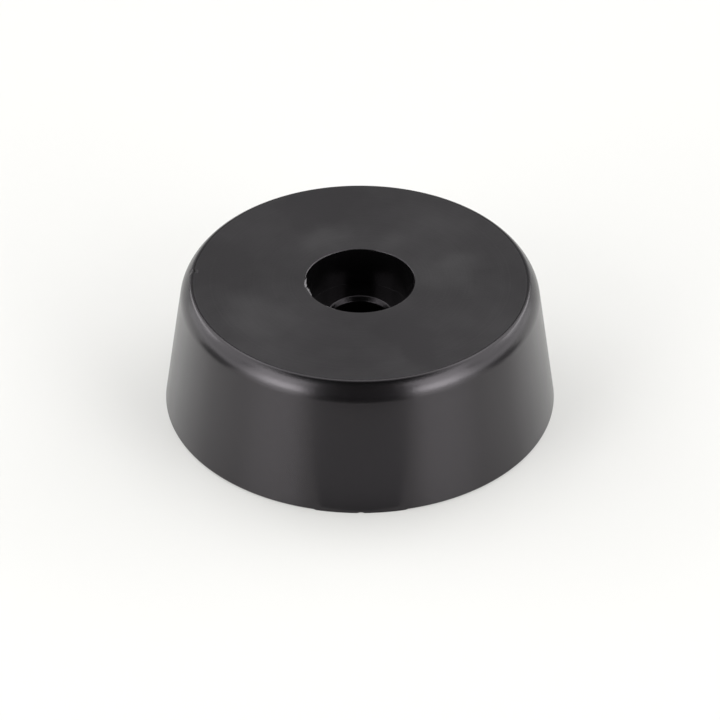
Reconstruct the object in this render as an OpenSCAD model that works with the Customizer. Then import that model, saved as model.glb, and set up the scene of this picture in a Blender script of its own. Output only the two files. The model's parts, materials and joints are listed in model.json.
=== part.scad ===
// Tapered round foot that is fixed by one screw, moulded in one piece. Millimetres.
// It stands on its wide mounting face, and the origin is the centre of that face.
// +Z runs up the axis to the narrow floor face, where the screw goes in.

/* [Outer form] */
// Diameter of the wide mounting face
base_d = 38.1; // [34:0.1:60]
// Height from the mounting face to the floor face
foot_h = 13.7; // [9:0.1:20]
// Taper of the side, in degrees from the axis
side_taper = 7.7; // [2:0.1:12]
// Radius of the round shoulder above the side
shoulder_r = 3; // [2:0.1:5]
// How far inside the sharp corner the shoulder comes up to the floor face
shoulder_setback = 0.8; // [0.5:0.1:1.4]
// Radius that breaks the edge between the shoulder and the floor face
edge_r = 0.6; // [0.2:0.1:1]

/* [Screw hole] */
// Diameter of the recess that takes the screw's head
recess_d = 10.6; // [9.6:0.1:14]
// Depth of the recess below the floor face
recess_depth = 4.1; // [2:0.1:6]
// Diameter of the hole that the screw's shank goes through
hole_d = 5.6; // [3.2:0.1:7]
// Chamfer round the mouth of that hole, at 45 degrees
mouth_chamfer = 0.4; // [0.1:0.1:1]

/* [Hidden] */

$fn = 128;
// How far a cut runs past the face that it opens
cut_past = 1;
// How much an arc stands proud of what it is tangent to, so that the two really cross
arc_proud = 0.001;

base_r = base_d / 2;
// Unit directions in the half section: along the side, out of the side, and out of the floor face
along_side = [-sin(side_taper), cos(side_taper)];
out_of_side = [cos(side_taper), sin(side_taper)];
out_of_face = [0, 1];
// The sharp corner that the side and the floor face would make without the shoulder
corner = [base_r - foot_h * tan(side_taper), foot_h];

// The shoulder is an arc tangent to the side, and it cuts the floor face at the setback.
// That cut lies setback_depth under the side, so the arc starts setback_run before it.
setback_depth = shoulder_setback * out_of_side[0];
setback_run = sqrt(setback_depth * (2 * shoulder_r - setback_depth));
shoulder_centre = corner - [shoulder_setback, 0] + setback_depth * out_of_side
    - setback_run * along_side - shoulder_r * out_of_side;

// The edge's smaller arc is tangent to the floor face and to the shoulder, from the inside
centre_gap = shoulder_r - edge_r;
centre_rise = foot_h - edge_r - shoulder_centre[1];
edge_centre = shoulder_centre + [sqrt(centre_gap * centre_gap - centre_rise * centre_rise), centre_rise];
edge_to_shoulder = (edge_centre - shoulder_centre) / centre_gap;

recess_floor_z = foot_h - recess_depth;

// Half section of the solid form, with the axis at x = 0. The shoulder's arc is cut on past the
// edge's arc, which lies inside it and stands a little proud of it in turn.
module outer_section() {
    difference() {
        polygon([[0, 0], [base_r, 0], corner, [0, foot_h]]);
        outside_arc(shoulder_centre, shoulder_r + arc_proud, out_of_side, out_of_face);
        outside_arc(edge_centre, edge_r + 2 * arc_proud, edge_to_shoulder, out_of_face);
    }
}

// What lies outside an arc, between the directions from its centre to its two ends
module outside_arc(centre, radius, to_start, to_end) {
    reach = 2 * radius;
    difference() {
        polygon([
            centre,
            centre + reach * to_start,
            centre + reach * (to_start + to_end),
            centre + reach * to_end
        ]);
        translate(centre) circle(r = radius);
    }
}

// Everything that the screw takes up: the shank's hole, its chamfered mouth and the head's recess
module screw_space() {
    translate([0, 0, -cut_past])
        cylinder(d = hole_d, h = recess_floor_z + 2 * cut_past);
    translate([0, 0, recess_floor_z - mouth_chamfer])
        cylinder(d1 = hole_d, d2 = hole_d + 2 * mouth_chamfer, h = mouth_chamfer);
    translate([0, 0, recess_floor_z])
        cylinder(d = recess_d, h = recess_depth + cut_past);
}

module foot() {
    color([0.07, 0.07, 0.075])
        difference() {
            rotate_extrude() outer_section();
            screw_space();
        }
}

foot();
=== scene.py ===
"""Dresses the tapered foot: a fine mesh of the moulding, its black plastic, and a white studio.

Lengths are in millimetres and become metres where a mesh, a lamp or the camera is made.
Azimuths are seen from the foot: 0 is straight behind it, along +Y, and 90 is to its right, along +X.
"""
import json
import math

import bmesh
import bpy
from mathutils import Matrix, Vector, noise


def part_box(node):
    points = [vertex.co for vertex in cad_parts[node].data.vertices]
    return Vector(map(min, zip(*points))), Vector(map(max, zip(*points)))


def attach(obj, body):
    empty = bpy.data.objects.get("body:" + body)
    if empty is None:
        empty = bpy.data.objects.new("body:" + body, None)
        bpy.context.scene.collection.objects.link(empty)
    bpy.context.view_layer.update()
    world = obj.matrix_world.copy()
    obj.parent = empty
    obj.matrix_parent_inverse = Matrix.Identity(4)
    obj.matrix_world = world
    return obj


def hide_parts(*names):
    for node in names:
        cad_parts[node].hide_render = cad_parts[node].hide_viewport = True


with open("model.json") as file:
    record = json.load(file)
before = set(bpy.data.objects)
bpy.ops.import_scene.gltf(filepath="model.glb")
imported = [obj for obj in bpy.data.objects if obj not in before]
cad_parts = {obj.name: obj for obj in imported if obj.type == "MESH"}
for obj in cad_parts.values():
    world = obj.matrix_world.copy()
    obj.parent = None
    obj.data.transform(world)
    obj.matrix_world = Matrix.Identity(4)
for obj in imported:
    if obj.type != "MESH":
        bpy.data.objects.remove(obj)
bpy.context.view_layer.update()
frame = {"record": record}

MM = 0.001

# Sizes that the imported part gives
foot_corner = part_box("foot")[1]
base_r = foot_corner.x / MM
foot_h = foot_corner.z / MM
bores = {m["name"]: m["dims"] for m in frame["record"]["mounts"] if m["kind"] == "bore"}
recess_r = bores["head_recess"]["r_mm"]
recess_depth = bores["head_recess"]["length_mm"]
hole_r = bores["screw_hole"]["r_mm"]

# Sizes of the form that only the part's source names
side_taper = math.radians(7.7)
shoulder_r = 3.0
shoulder_setback = 0.8
edge_r = 0.6
mouth_chamfer = 0.4

# Small radii that a moulding has on its sharp edges
base_edge_r = 0.2
rim_r = 0.12
corner_r = 0.01
mouth_edge_r = 0.25

# Marks of moulding. A span of angles is its start, its end and how softly it ends, in degrees
# from +X and anticlockwise from above: 180 is the foot's left side and 270 its front.
rim_band = 0.6
# The rim is blunt at its left and back, and sharper by this share elsewhere
blunt_rim = (125, 196, 12)
sharp_rim = 0.5
# On the left a strip has peeled off the rim, wider towards the front, and beside it a thin flash
# reaches into the recess. The peeled strip and a few more spans of the rim's edge are painted pale: a
# painted highlight for the rim's glints.
peeled_rim = (172.5, 191.5, 1)
peel_start = 0.06
peel_end = 0.21
peel_slope = 0.8
# Spans of the rim's edge painted pale as a painted highlight, in degrees, beginning this far out from the
# recess's wall
rim_glint_spans = [(193, 207), (232, 243)]
rim_glint_inner = 0.02
flash_tongue = (174, 207, 4)
flash_reach = 0.25
flash_depth = 0.22
flash_groove = (190, 210, 3)
groove_offset = 0.12
groove_width = 0.08
groove_depth = 0.05
# How fine the raggedness of these marks is, and how much of each mark's size it changes
ragged_grain = 7
tongue_share = 0.7
tongue_ragged = 0.6
groove_ragged = 0.8
peel_ragged = 0.4
# The base's edge is sharp where the flash was cut, with the gate's gap between the two spans
base_flash = [(257, 269.5, 0.5), (271, 283.5, 0.5)]
base_flash_share = 0.8
# The edge of the flat face has one nick, at its left
edge_nick = (173.5, 175.5, 0.8)
nick_depth = 0.1

# How the mesh is divided: round the axis, along each arc of the half section, and how close to an
# arc the straight part beside it has its first point
segments = 512
arc_steps = {"hole": 4, "base": 8, "shoulder": 28, "edge": 12, "rim": 8, "corner": 4, "mouth": 3}
flat_support = 0.03
# How far off its arc a point of the rim may be and still count as on it, as a share of the radius
arc_slack = 1.01

# The plastics, in the order of their slots on the mesh. The bore's has painted shade, and the last is the
# pale painted highlight of the rim's glints.
SATIN, MATTE, SHADED_BORE, RIM_GLINT = range(4)

# Camera, fitted to the outline of the foot in the photograph
camera_distance = 492.6
camera_elevation = math.radians(35.86)
camera_target_z = 7.0
camera_aim_z = 4.18
camera_roll = math.radians(0.08)
camera_lens = 252.6
camera_sensor = 36.0


def shoulder_form():
    """Centres of the shoulder's and the edge's arcs in the half section, and the slope where they meet."""
    along = Vector((-math.sin(side_taper), math.cos(side_taper)))
    out = Vector((math.cos(side_taper), math.sin(side_taper)))
    corner = Vector((base_r - foot_h * math.tan(side_taper), foot_h))
    depth = shoulder_setback * out.x
    run = math.sqrt(depth * (2 * shoulder_r - depth))
    shoulder = corner - Vector((shoulder_setback, 0)) + depth * out - run * along - shoulder_r * out
    gap = shoulder_r - edge_r
    rise = foot_h - edge_r - shoulder.y
    edge = shoulder + Vector((math.sqrt(gap * gap - rise * rise), rise))
    return shoulder, edge, math.atan2(edge.x - shoulder.x, rise)


def arc(centre, radius, start, end, steps):
    """Points on an arc of the half section. An angle of 0 points up the axis and 90 degrees outwards."""
    points = []
    for i in range(steps + 1):
        angle = start + (end - start) * i / steps
        points.append((centre[0] + radius * math.sin(angle), centre[1] + radius * math.cos(angle)))
    return points


def line(start, end, steps):
    """Points along a straight part of the half section, with one close to each end and without the ends."""
    start = Vector(start)
    end = Vector(end)
    length = (end - start).length
    support = min(flat_support, length / 4) / length
    shares = [support]
    shares += [i / steps for i in range(1, steps) if support < i / steps < 1 - support]
    shares.append(1 - support)
    return [tuple(start.lerp(end, share)) for share in shares]


def round_parts():
    """Each round part of the half section with its points, and the straight part after it with its steps."""
    shoulder, edge, split = shoulder_form()
    quarter = math.pi / 2
    side_slope = quarter - side_taper
    recess_z = foot_h - recess_depth
    mouth_r = hole_r + mouth_chamfer
    # How far a small arc's centre lies from the corner that it breaks
    base_gap = base_edge_r * (1 - math.sin(side_taper)) / math.cos(side_taper)
    mouth_gap = mouth_edge_r * math.tan(quarter / 4)
    return [
        ("hole", arc((hole_r + base_edge_r, base_edge_r), base_edge_r,
                     -quarter, -math.pi, arc_steps["hole"]), "under", 8),
        ("base", arc((base_r - base_gap - base_edge_r * math.tan(side_taper), base_edge_r), base_edge_r,
                     math.pi, side_slope, arc_steps["base"]), "side", 16),
        ("shoulder", arc(shoulder, shoulder_r, side_slope, split, arc_steps["shoulder"]), "", 0),
        ("edge", arc(edge, edge_r, split, 0, arc_steps["edge"]), "face", 20),
        ("rim_face", [(recess_r + rim_band, foot_h)], "rim_face", 12),
        ("rim", arc((recess_r + rim_r, foot_h - rim_r), rim_r,
                    0, -quarter, arc_steps["rim"]), "rim_wall", 8),
        ("recess", [(recess_r, foot_h - rim_band)], "recess", 8),
        ("recess", arc((recess_r - corner_r, recess_z + corner_r), -corner_r,
                       -quarter, 0, arc_steps["corner"]), "recess", 4),
        ("mouth", arc((mouth_r + mouth_gap, recess_z - mouth_edge_r), mouth_edge_r,
                      0, -quarter / 2, arc_steps["mouth"]), "mouth", 3),
        ("mouth", arc((hole_r + mouth_edge_r, recess_z - mouth_chamfer - mouth_gap), mouth_edge_r,
                      -quarter / 2, -quarter, arc_steps["mouth"]), "hole", 12),
    ]


def half_section():
    """The closed half section as (r, z, part) points, from the base up the outside, then down the hole."""
    rounds = round_parts()
    section = []
    for i, (part, points, flat, steps) in enumerate(rounds):
        section += [(r, z, part) for r, z in points]
        if steps:
            following = rounds[(i + 1) % len(rounds)][1][0]
            section += [(r, z, flat) for r, z in line(points[-1], following, steps)]
        else:
            # The next arc starts at this point
            section.pop()
    return section


def within(angle, start, end, soft):
    """1 between two angles in degrees, falling to 0 over soft degrees at each end."""
    degrees = math.degrees(angle)
    inside = min(degrees - start, end - degrees)
    return min(1, max(0, inside / soft + 0.5))


def raggedness(r, z, angle):
    """Noise that makes the torn and the flashed edges uneven."""
    return noise.noise(Vector((math.cos(angle), math.sin(angle), 0)) * r * ragged_grain + Vector((0, 0, z)))


def peel_reach(angle):
    """How far from the recess's wall the rim has peeled at that angle."""
    along = (math.degrees(angle) - peeled_rim[0]) / (peeled_rim[1] - peeled_rim[0])
    return peel_start + (peel_end - peel_start) * (along + peel_ragged * raggedness(recess_r, 0, angle))


def rim_marks(r, z, angle):
    """How the rim's wear and flash move a point near it: outwards and up."""
    ragged = raggedness(r, z, angle)
    from_wall = r - recess_r
    below_face = foot_h - z
    fade = max(0, 1 - below_face / rim_band)
    out = 0
    up = 0
    peeled = within(angle, *peeled_rim)
    if math.hypot(from_wall - rim_r, below_face - rim_r) < rim_r * arc_slack:
        # Where the rim is peeled its arc is laid out flat, and elsewhere it is made smaller
        turned = math.asin(min(1, max(0, 1 - from_wall / rim_r))) * 2 / math.pi
        shrink = (1 - peeled) * (1 - sharp_rim) * (1 - within(angle, *blunt_rim))
        out += peeled * (rim_r * (1 - turned) - from_wall) - shrink * from_wall
        up += (peeled + shrink) * below_face
    up -= peel_slope * max(0, peel_reach(angle) - from_wall - out) * fade * peeled
    tongue = max(0, 1 - math.hypot(from_wall, below_face) / flash_depth)
    out -= flash_reach * (tongue_share + tongue_ragged * ragged) * tongue * within(angle, *flash_tongue)
    groove = max(0, 1 - abs(from_wall - groove_offset) / groove_width)
    up -= groove_depth * (1 + groove_ragged * ragged) * groove * fade * within(angle, *flash_groove)
    return out, up


def base_marks(r, z, angle):
    """How the flash left on the base's edge moves a point: towards the sharp corner."""
    share = base_flash_share * max(within(angle, *span) for span in base_flash)
    sharp_r = base_r - z * math.tan(side_taper)
    return share * (sharp_r - r), -share * z


def edge_marks(r, z, angle):
    """How the nick in the face's edge moves a point, wherever on the edge it is."""
    return -nick_depth * within(angle, *edge_nick), 0


marks = {"rim": rim_marks, "rim_face": rim_marks, "rim_wall": rim_marks,
         "base": base_marks, "edge": edge_marks}
matte_parts = ("face", "rim_face")
bore_parts = ("rim_wall", "recess", "mouth", "hole")


def slot_of(parts, r, angle):
    """Which of the plastics is on the faces between two rings."""
    degrees = math.degrees(angle)
    # The peeled strip and the glinting spans of the rim get the pale plastic, a painted highlight
    peeled = within(angle, *peeled_rim) > 0.5 and "rim" in parts[0] and r < recess_r + peel_reach(angle)
    glinting = "rim" == parts[0] and r > recess_r + rim_glint_inner and any(a < degrees < b for a, b in rim_glint_spans)
    if peeled or glinting:
        return RIM_GLINT
    if parts[0] in matte_parts or parts[1] in matte_parts:
        return MATTE
    # The recess and the hole get the bore's plastic, whose reflection is dimmed as painted shade
    if parts[1] in bore_parts:
        return SHADED_BORE
    return SATIN


def surface_point(r, z, part, angle):
    """The place of a point of the section at that angle, in metres, with the moulding's marks on it."""
    moved_r = r
    moved_z = z
    if part in marks:
        out, up = marks[part](r, z, angle)
        moved_r += out
        moved_z += up
    return Vector((moved_r * math.cos(angle), moved_r * math.sin(angle), moved_z)) * MM


def revolved_mesh(name, section):
    """A closed mesh of the half section turned round the axis."""
    mesh = bmesh.new()
    turns = [2 * math.pi * i / segments for i in range(segments)]
    rings = [[mesh.verts.new(surface_point(r, z, part, turn)) for turn in turns] for r, z, part in section]
    for i, ring in enumerate(rings):
        following = rings[(i + 1) % len(rings)]
        parts = (section[i][2], section[(i + 1) % len(rings)][2])
        for j in range(segments):
            k = (j + 1) % segments
            face = mesh.faces.new((ring[j], ring[k], following[k], following[j]))
            face.smooth = True
            face.material_index = slot_of(parts, section[i][0], turns[j])
    bmesh.ops.recalc_face_normals(mesh, faces=mesh.faces)
    data = bpy.data.meshes.new(name)
    mesh.to_mesh(data)
    mesh.free()
    return data


def linked(name, data):
    """A new object of that data in the scene."""
    thing = bpy.data.objects.new(name, data)
    bpy.context.scene.collection.objects.link(thing)
    return thing


# Plastic
plastic_colour = (0.0016, 0.0015, 0.0016, 1)
plastic_tint = (1, 0.94, 1, 1)
# The bore's reflection is halved by its tint: painted shade in the recess, its mouth and the hole
bore_shade_tint = (0.5, 0.46, 0.5, 1)
# The pale colour painted on the rim's glints: a painted highlight
rim_glint_colour = (0.13, 0.127, 0.13, 1)
plastic_ior = 1.55
side_roughness = 0.24
face_roughness = 0.42
bore_roughness = 0.22
# How much the roughness varies, and in clouds of what scale
roughness_spread = 0.03
roughness_scale = 260
# The grain of the moulding, and the turning marks on the face, with heights in metres
grain_scale = 6000
grain_strength = 0.25
grain_height = 0.00003
ring_scale = 5000
ring_strength = 0.15
ring_height = 0.00001
# The turning marks draw the face's highlights out, a quarter of a turn from the tangent
face_anisotropy = 0.5
face_turn = 0.25
# The face's own grey, and how much its clouds and its turning marks change it
face_grey = 0.003
cloud_grey = 0.006
cloud_scale = 420
ring_grey = 0.004
# The face has painted sheen: patches painted pale where its reflection is brighter and dark where it is
# dimmer. Each patch is x, y and radius in millimetres, and how much it adds to the colour, with less
# than nothing for a dark one. Noise bends them, by metres.
sheen_patches = [
    (-3.8, 7.2, 4.5, 0.012),
    (2.5, 6.8, 4.5, 0.009),
    (7.0, 10.0, 5.0, 0.006),
    (9.0, 2.1, 5.5, 0.013),
    (-9.4, -5.2, 5.0, 0.011),
    (-9.0, -11.0, 6.0, 0.005),
    (3.5, -14.0, 3.5, 0.006),
    (12.0, -7.0, 4.0, 0.005),
    (-3.8, 12.8, 4.5, -0.009),
    (3.4, -7.7, 4.0, -0.009),
    (5.6, -10.8, 3.5, -0.009),
    (-13.6, 2.6, 5.5, -0.005),
]
patch_bend = 0.008
patch_bend_scale = 180


def value_of(nodes, kind, **inputs):
    """A new node with some of its inputs set. An underscore stands for a space in an input's name."""
    node = nodes.new(kind)
    for name, value in inputs.items():
        node.inputs[name.replace("_", " ")].default_value = value
    return node


def math_node(nodes, operation):
    """A new node that does that sum."""
    node = nodes.new("ShaderNodeMath")
    node.operation = operation
    return node


def vector_node(nodes, operation):
    """A new node that does that sum on vectors."""
    node = nodes.new("ShaderNodeVectorMath")
    node.operation = operation
    return node


def sum_of(nodes, links, first, second):
    """The sum of two values of a material."""
    add = math_node(nodes, "ADD")
    links.new(first, add.inputs[0])
    links.new(second, add.inputs[1])
    return add.outputs["Value"]


def noise_of(nodes, links, place, scale, detail):
    """Noise over the surface, fixed to the object."""
    texture = value_of(nodes, "ShaderNodeTexNoise", Scale=scale, Detail=detail)
    links.new(place.outputs["Object"], texture.inputs["Vector"])
    return texture


def between(nodes, links, value, low, high):
    """A value from 0 to 1 as one from low to high."""
    spread = value_of(nodes, "ShaderNodeMapRange", To_Min=low, To_Max=high)
    links.new(value, spread.inputs["Value"])
    return spread.outputs["Result"]


def bent_place(nodes, links, place):
    """The place on the object, moved by noise. The noise's middle moves it by half of patch_bend."""
    bend = noise_of(nodes, links, place, patch_bend_scale, 3)
    shift = vector_node(nodes, "MULTIPLY_ADD")
    shift.inputs[1].default_value = (patch_bend, patch_bend, 0)
    links.new(bend.outputs["Color"], shift.inputs[0])
    links.new(place.outputs["Object"], shift.inputs[2])
    return shift.outputs["Vector"]


def sheen_patch_grey(nodes, links, bent, patch):
    """What one patch of painted sheen adds to the face's grey."""
    x, y, radius, strength = patch
    away = vector_node(nodes, "DISTANCE")
    away.inputs[1].default_value = (x * MM + patch_bend / 2, y * MM + patch_bend / 2, foot_h * MM)
    links.new(bent, away.inputs[0])
    fall = value_of(nodes, "ShaderNodeMapRange", From_Max=radius * MM, To_Min=strength, To_Max=0)
    fall.interpolation_type = "SMOOTHSTEP"
    links.new(away.outputs["Value"], fall.inputs["Value"])
    return fall.outputs["Result"]


def face_tone_and_sheen(nodes, links, place, rings):
    """The face's grey: its own cloudy grey with fine turning rings, and patches of painted sheen on it, pale
    where its reflection is brighter and dark where it is dimmer.
    """
    clouds = noise_of(nodes, links, place, cloud_scale, 4).outputs["Fac"]
    cloudy = between(nodes, links, clouds, face_grey - cloud_grey, face_grey + cloud_grey)
    grey = sum_of(nodes, links, cloudy, between(nodes, links, rings, -ring_grey, ring_grey))
    bent = bent_place(nodes, links, place)
    for patch in sheen_patches:
        grey = sum_of(nodes, links, grey, sheen_patch_grey(nodes, links, bent, patch))
    return grey


def turning_rings(nodes, links, place):
    """Noise in fine rings round the axis."""
    flat = vector_node(nodes, "MULTIPLY")
    flat.inputs[1].default_value = (1, 1, 0)
    links.new(place.outputs["Object"], flat.inputs[0])
    radius = vector_node(nodes, "LENGTH")
    links.new(flat.outputs["Vector"], radius.inputs[0])
    rings = nodes.new("ShaderNodeTexNoise")
    rings.noise_dimensions = "1D"
    rings.inputs["Scale"].default_value = ring_scale
    rings.inputs["Detail"].default_value = 2
    links.new(radius.outputs["Value"], rings.inputs["W"])
    return rings.outputs["Fac"]


def turn_face(nodes, links, place, shader, grain):
    """Puts turning marks and patches of painted sheen on the face's plastic. It gives the normal with the
    marks.
    """
    rings = turning_rings(nodes, links, place)
    groove = value_of(nodes, "ShaderNodeBump", Strength=ring_strength, Distance=ring_height)
    links.new(rings, groove.inputs["Height"])
    links.new(grain, groove.inputs["Normal"])
    shader.inputs["Anisotropic"].default_value = face_anisotropy
    shader.inputs["Anisotropic Rotation"].default_value = face_turn
    tangent = nodes.new("ShaderNodeTangent")
    tangent.direction_type = "RADIAL"
    tangent.axis = "Z"
    links.new(tangent.outputs["Tangent"], shader.inputs["Tangent"])
    links.new(face_tone_and_sheen(nodes, links, place, rings), shader.inputs["Base Color"])
    return groove.outputs["Normal"]


def plastic(name, roughness, tint=plastic_tint, colour=plastic_colour, on_face=False):
    """Moulded plastic with a fine grain. On the face it also has turning marks and patches of painted sheen.
    """
    material = bpy.data.materials.new(name)
    material.use_nodes = True
    nodes = material.node_tree.nodes
    links = material.node_tree.links
    shader = nodes["Principled BSDF"]
    shader.inputs["Base Color"].default_value = colour
    shader.inputs["Specular Tint"].default_value = tint
    shader.inputs["IOR"].default_value = plastic_ior
    place = nodes.new("ShaderNodeTexCoord")
    clouds = noise_of(nodes, links, place, roughness_scale, 3).outputs["Fac"]
    uneven = between(nodes, links, clouds, roughness - roughness_spread, roughness + roughness_spread)
    links.new(uneven, shader.inputs["Roughness"])
    grain = noise_of(nodes, links, place, grain_scale, 2)
    bump = value_of(nodes, "ShaderNodeBump", Strength=grain_strength, Distance=grain_height)
    links.new(grain.outputs["Fac"], bump.inputs["Height"])
    normal = bump.outputs["Normal"]
    if on_face:
        normal = turn_face(nodes, links, place, shader, normal)
    links.new(normal, shader.inputs["Normal"])
    return material


def place_camera():
    """The camera at the photograph's angle, for a frame of 720 by 720."""
    data = bpy.data.cameras.new("camera")
    data.lens = camera_lens
    data.sensor_width = camera_sensor
    camera = linked("camera", data)
    back = Vector((0, -math.cos(camera_elevation), math.sin(camera_elevation)))
    eye = Vector((0, 0, camera_target_z)) + camera_distance * back
    aim = Vector((0, 0, camera_aim_z)) - eye
    turn = aim.to_track_quat("-Z", "Y").to_matrix() @ Matrix.Rotation(camera_roll, 3, "Z")
    camera.matrix_world = Matrix.LocRotScale(eye * MM, turn, None)
    bpy.context.scene.camera = camera


# Studio. Each softbox fills a range of azimuths and of elevations in degrees, at one radiance.
# Those with two sides stand in pairs, to the left and to the right of the foot.
both = (-1, 1)
softboxes = [
    {"name": "front_edge", "sides": both, "azimuths": (110, 121), "elevations": (1, 20), "radiance": 3.1},
    {"name": "front_low", "sides": both, "azimuths": (121, 147), "elevations": (1, 20), "radiance": 6.6},
    {"name": "front_high", "sides": both, "azimuths": (110, 147), "elevations": (20, 42), "radiance": 3.5},
    {"name": "side_low", "sides": both, "azimuths": (50, 110), "elevations": (1, 22), "radiance": 1.2},
    {"name": "side_strip", "sides": both, "azimuths": (35, 75), "elevations": (20, 32), "radiance": 3.0},
    {"name": "side_high", "sides": both, "azimuths": (30, 110), "elevations": (22, 66), "radiance": 1.6},
    {"name": "overhead", "sides": (1,), "azimuths": (-52, 52), "elevations": (52, 86), "radiance": 1.4},
]
lamp_distance = 1.0
# Cards, in metres: one upright in front of the foot and one level above it. A card is black unless
# it has a grey of its own.
card_black = 0.01
card_y = -1.3
card_half_width = 0.8
card_z = 1.5
card_back_y = 0.6
front_card_grey = 0.12
# Cards on the table in front of the foot: a black one, and a paler one close to it. The paler one is painted
# shade: only the foot's gloss sees it, in place of the shade on the table just in front of the foot. Each
# has the y and the half width of its near edge, then of its far edge.
table_card_z = 0.0001
low_card_ys = (-0.05, -1.3)
low_card_xs = (0.024, 0.55)
near_card_ys = (-0.0193, -0.04)
near_card_xs = (0.004, 0.017)
near_shade_grey = 0.45
# Dark cards on the table to the left and to the right, as azimuths in degrees and reach in metres
side_card_azimuths = (82, 106)
side_card_reach = (0.048, 0.4)
side_card_grey = 0.16
# The surroundings are pale at the horizon and dimmer from haze_top up, as the sine of the elevation
horizon_level = 0.92
upper_level = 0.34
haze_bottom = 0.08
haze_top = 0.3
floor_radius = 2.5
floor_sides = 64
floor_colour = (0.755, 0.752, 0.735, 1)
floor_roughness = 0.25
floor_ior = 1.8
# How much of the floor's look is plain white, which keeps its shadows as soft as the photograph's
floor_lift = 0.3
lift_colour = (0.97, 0.967, 0.94, 1)


def softbox(name, sides, azimuths, elevations, radiance):
    """A rectangular lamp on each of those sides that faces the foot. 1 is the right and -1 the left."""
    across = math.radians(sum(azimuths) / 2)
    up = math.radians(sum(elevations) / 2)
    spread = math.radians(azimuths[1] - azimuths[0])
    rise = math.radians(elevations[1] - elevations[0])
    for side in sides:
        lamp = bpy.data.lights.new(name, "AREA")
        lamp.shape = "RECTANGLE"
        lamp.size = 2 * lamp_distance * math.tan(spread / 2) * math.cos(up)
        lamp.size_y = 2 * lamp_distance * math.tan(rise / 2)
        lamp.energy = radiance * math.pi * lamp.size * lamp.size_y
        thing = linked(name, lamp)
        way = Vector((side * math.sin(across) * math.cos(up), math.cos(across) * math.cos(up), math.sin(up)))
        thing.location = way * lamp_distance
        thing.rotation_euler = way.to_track_quat("Z", "Y").to_euler()


def card(name, corners, grey=card_black):
    """A card that the camera doesn't see. It keeps the pale surroundings off the foot."""
    data = bpy.data.meshes.new(name)
    data.from_pydata(corners, [], [(0, 1, 2, 3)])
    thing = linked(name, data)
    thing.visible_camera = False
    paper = bpy.data.materials.new(name)
    paper.use_nodes = True
    paper.node_tree.nodes["Principled BSDF"].inputs["Base Color"].default_value = (grey, grey, grey, 1)
    paper.node_tree.nodes["Principled BSDF"].inputs["Roughness"].default_value = 1
    data.materials.append(paper)
    return thing


def table_card(name, corners, grey=card_black):
    """A card that lies on the table. It hides no light, and is clear from below, where the floor is."""
    thing = card(name, [(x, y, table_card_z) for x, y in corners], grey)
    thing.visible_shadow = False
    thing.visible_diffuse = False
    thing.data.update()
    if thing.data.polygons[0].normal.z < 0:
        thing.data.flip_normals()
    nodes = thing.data.materials[0].node_tree.nodes
    links = thing.data.materials[0].node_tree.links
    one_sided = nodes.new("ShaderNodeMixShader")
    links.new(nodes.new("ShaderNodeNewGeometry").outputs["Backfacing"], one_sided.inputs["Fac"])
    links.new(nodes["Principled BSDF"].outputs["BSDF"], one_sided.inputs[1])
    links.new(nodes.new("ShaderNodeBsdfTransparent").outputs["BSDF"], one_sided.inputs[2])
    links.new(one_sided.outputs["Shader"], nodes["Material Output"].inputs["Surface"])


def tapered(ys, xs):
    """The corners of a card on the table that is wider at its far edge than at its near edge."""
    return [(-xs[0], ys[0]), (xs[0], ys[0]), (xs[1], ys[1]), (-xs[1], ys[1])]


def side_corners(side):
    """The corners of the card on the table to one side."""
    corners = []
    for azimuth, reach in ((0, 0), (0, 1), (1, 1), (1, 0)):
        way = math.radians(side_card_azimuths[azimuth])
        far = side_card_reach[reach]
        corners.append((side * far * math.sin(way), far * math.cos(way)))
    return corners


def place_cards():
    """All the cards round the foot."""
    card("front_card", [(-card_half_width, card_y, 0), (card_half_width, card_y, 0),
                        (card_half_width, card_y, card_z), (-card_half_width, card_y, card_z)],
         front_card_grey)
    card("top_card", [(-card_half_width, card_y, card_z), (card_half_width, card_y, card_z),
                      (card_half_width, card_back_y, card_z), (-card_half_width, card_back_y, card_z)])
    table_card("low_card", tapered(low_card_ys, low_card_xs))
    # The grey card is painted shade of the table just in front of the foot, seen only in the foot's gloss
    table_card("near_card", tapered(near_card_ys, near_card_xs), near_shade_grey)
    for side in both:
        table_card("side_card", side_corners(side), side_card_grey)


def seen_directly(nodes, links):
    """1 where the floor is seen straight, mirrored or through glass, and 0 for its light on things."""
    path = nodes.new("ShaderNodeLightPath")
    seen = path.outputs["Is Camera Ray"]
    for kind in ("Is Glossy Ray", "Is Transmission Ray"):
        either = math_node(nodes, "MAXIMUM")
        links.new(seen, either.inputs[0])
        links.new(path.outputs[kind], either.inputs[1])
        seen = either.outputs["Value"]
    return seen


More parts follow.
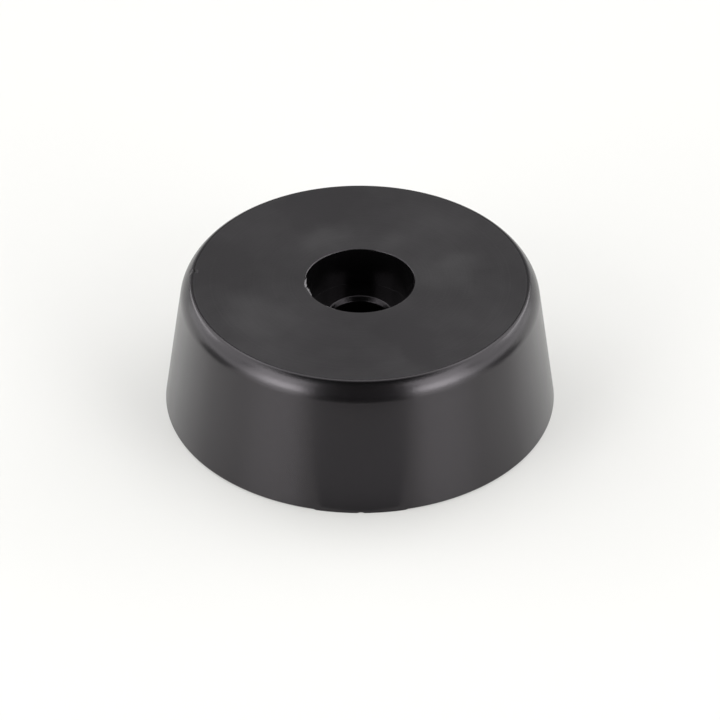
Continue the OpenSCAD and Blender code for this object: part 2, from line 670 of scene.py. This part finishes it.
def floor_material():
    """Glossy white, lifted by a share of plain white where it is seen."""
    white = bpy.data.materials.new("floor_white")
    white.use_nodes = True
    nodes = white.node_tree.nodes
    links = white.node_tree.links
    shader = nodes["Principled BSDF"]
    shader.inputs["Base Color"].default_value = floor_colour
    shader.inputs["Roughness"].default_value = floor_roughness
    shader.inputs["IOR"].default_value = floor_ior
    plain = value_of(nodes, "ShaderNodeEmission", Color=lift_colour, Strength=1)
    share = math_node(nodes, "MULTIPLY")
    share.inputs[1].default_value = floor_lift
    links.new(seen_directly(nodes, links), share.inputs[0])
    lifted = nodes.new("ShaderNodeMixShader")
    links.new(share.outputs["Value"], lifted.inputs["Fac"])
    links.new(shader.outputs["BSDF"], lifted.inputs[1])
    links.new(plain.outputs["Emission"], lifted.inputs[2])
    links.new(lifted.outputs["Shader"], nodes["Material Output"].inputs["Surface"])
    return white


def lay_floor():
    """The table, a round white sheet with a slight gloss."""
    data = bpy.data.meshes.new("floor")
    ring = []
    for i in range(floor_sides):
        angle = 2 * math.pi * i / floor_sides
        ring.append((floor_radius * math.cos(angle), floor_radius * math.sin(angle), 0))
    data.from_pydata(ring, [], [tuple(range(floor_sides))])
    data.materials.append(floor_material())
    floor = linked("floor", data)


def light_world():
    """Surroundings as pale as the far floor at the horizon, and dimmer above."""
    world = bpy.data.worlds.new("studio")
    bpy.context.scene.world = world
    world.use_nodes = True
    nodes = world.node_tree.nodes
    links = world.node_tree.links
    sky = nodes["Background"]
    sky.inputs["Color"].default_value = (1, 1, 1, 1)
    place = nodes.new("ShaderNodeTexCoord")
    split = nodes.new("ShaderNodeSeparateXYZ")
    links.new(place.outputs["Generated"], split.inputs["Vector"])
    level = value_of(nodes, "ShaderNodeMapRange", From_Min=haze_bottom, From_Max=haze_top,
                     To_Min=horizon_level, To_Max=upper_level)
    links.new(split.outputs["Z"], level.inputs["Value"])
    links.new(level.outputs["Result"], sky.inputs["Strength"])


place_camera()
foot = linked("moulded_foot", revolved_mesh("moulded_foot", half_section()))
foot.data.materials.append(plastic("satin_plastic", side_roughness))
foot.data.materials.append(plastic("matte_plastic", face_roughness, on_face=True))
# The bore's plastic has its reflection dimmed as painted shade, and the pale plastic is painted highlight on
# the rim's glints
foot.data.materials.append(plastic("bore_plastic", bore_roughness, tint=bore_shade_tint))
foot.data.materials.append(plastic("torn_plastic", face_roughness, colour=rim_glint_colour))
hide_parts("foot")
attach(foot, "root")

for one in softboxes:
    softbox(**one)
place_cards()
lay_floor()
light_world()
bpy.context.scene.view_settings.view_transform = "Standard"
